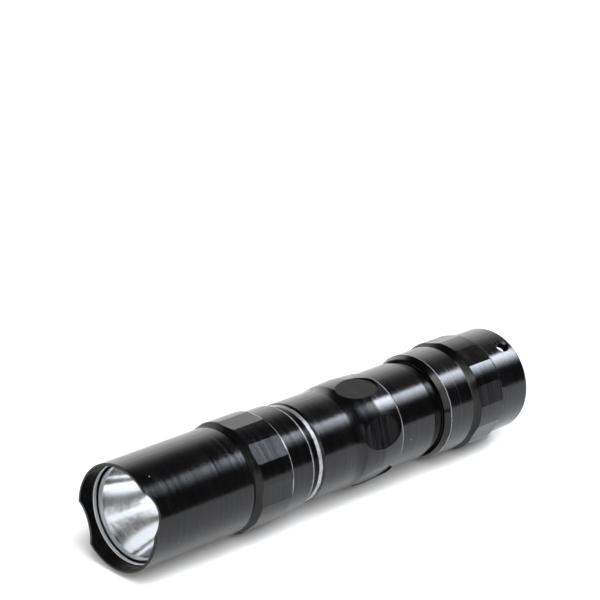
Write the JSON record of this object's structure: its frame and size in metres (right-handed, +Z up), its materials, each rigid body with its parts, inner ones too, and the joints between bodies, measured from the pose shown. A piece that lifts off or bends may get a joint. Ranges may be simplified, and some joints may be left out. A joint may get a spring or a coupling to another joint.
{
  "type": "tactical flashlight",
  "caption": "Slim round tactical flashlight: notched bezel, milled flats at both ends, dimpled grip ring, screw-off head and tail cap, recessed push-button tail switch.",
  "frame": {"origin": "on the ground plane under the middle of the light, which lies on its side", "axes": "+Z up, the light's axis along Y with the bezel facing -Y and the tail switch facing +Y"},
  "size_m": [0.0206, 0.0962, 0.0207],
  "materials": {
    "black_anodised": "polished black anodised with fine turning marks",
    "clear_glass": "clear",
    "clear_silicone": "translucent",
    "metallised": "smooth metallised",
    "white_plastic": "matt",
    "board_white": "solder mask",
    "ceramic_white": "ceramic",
    "bare_aluminium": "turned",
    "wire_red": "insulated",
    "board_green": "solder mask",
    "chip_black": "moulded",
    "capacitor_tan": "ceramic",
    "plated_spring": "nickel plated",
    "black_rubber": "moulded",
    "boot_rubber": "moulded",
    "cell_steel": "nickel plated",
    "cell_sleeve": "printed film",
    "black_plastic": "moulded",
    "brass": "plain"
  },
  "bodies": {
    "tube": {"battery_tube": "black_anodised", "battery_can": "cell_steel", "battery_label": "cell_sleeve", "battery_positive_cap": "cell_steel", "battery_top_washer": "white_plastic"},
    "head_seal": {"head_o_ring": "black_rubber"},
    "tail_seal": {"tail_o_ring": "black_rubber"},
    "head": {"head_shell": "black_anodised", "lens": "clear_glass", "lens_gasket": "clear_silicone", "reflector": "metallised", "led_insulator": "white_plastic", "led_star_board": "board_white", "led_package": "ceramic_white", "led_dome": "clear_silicone", "heat_sink": "bare_aluminium", "led_wires": "wire_red", "driver_board": "board_green", "driver_chip": "chip_black", "driver_capacitors": "capacitor_tan", "positive_contact_spring": "plated_spring"},
    "tail_cap": {"tail_cap_shell": "black_anodised", "switch_boot": "boot_rubber", "switch_return_spring": "plated_spring", "switch_housing": "black_plastic", "switch_carrier": "bare_aluminium", "switch_board": "board_green", "switch_contact_plate": "brass", "switch_retaining_ring": "bare_aluminium", "tail_spring": "plated_spring"},
    "button": {"switch_plunger": "black_plastic"}
  },
  "joints": [
    {"name": "head_turn", "type": "hinge", "parent": "tube", "child": "head_seal", "pos_m": [0, -0.0105, 0.01035], "axis": [0, -1, 0], "range_deg": [0, 1800]},
    {"name": "head_travel", "type": "slide", "parent": "head_seal", "child": "head", "axis": [0, -1, 0], "range_m": [0, 0.005]},
    {"name": "tail_cap_turn", "type": "hinge", "parent": "tube", "child": "tail_seal", "pos_m": [0, 0.0251, 0.01035], "axis": [0, 1, 0], "range_deg": [0, 2160]},
    {"name": "tail_cap_travel", "type": "slide", "parent": "tail_seal", "child": "tail_cap", "axis": [0, 1, 0], "range_m": [0, 0.006]},
    {"name": "tail_switch_press", "type": "slide", "parent": "tail_cap", "child": "button", "axis": [0, -1, 0], "range_m": [0, 0.001], "stiffness_N_per_m": 900, "springref_m": -0.0004, "deforming": ["switch_boot", "switch_return_spring"]}
  ],
  "couplings": [
    {"joint": "head_travel", "follows": "head_turn", "m_per_rad": 0.00015915},
    {"joint": "tail_cap_travel", "follows": "tail_cap_turn", "m_per_rad": 0.00015915}
  ]
}
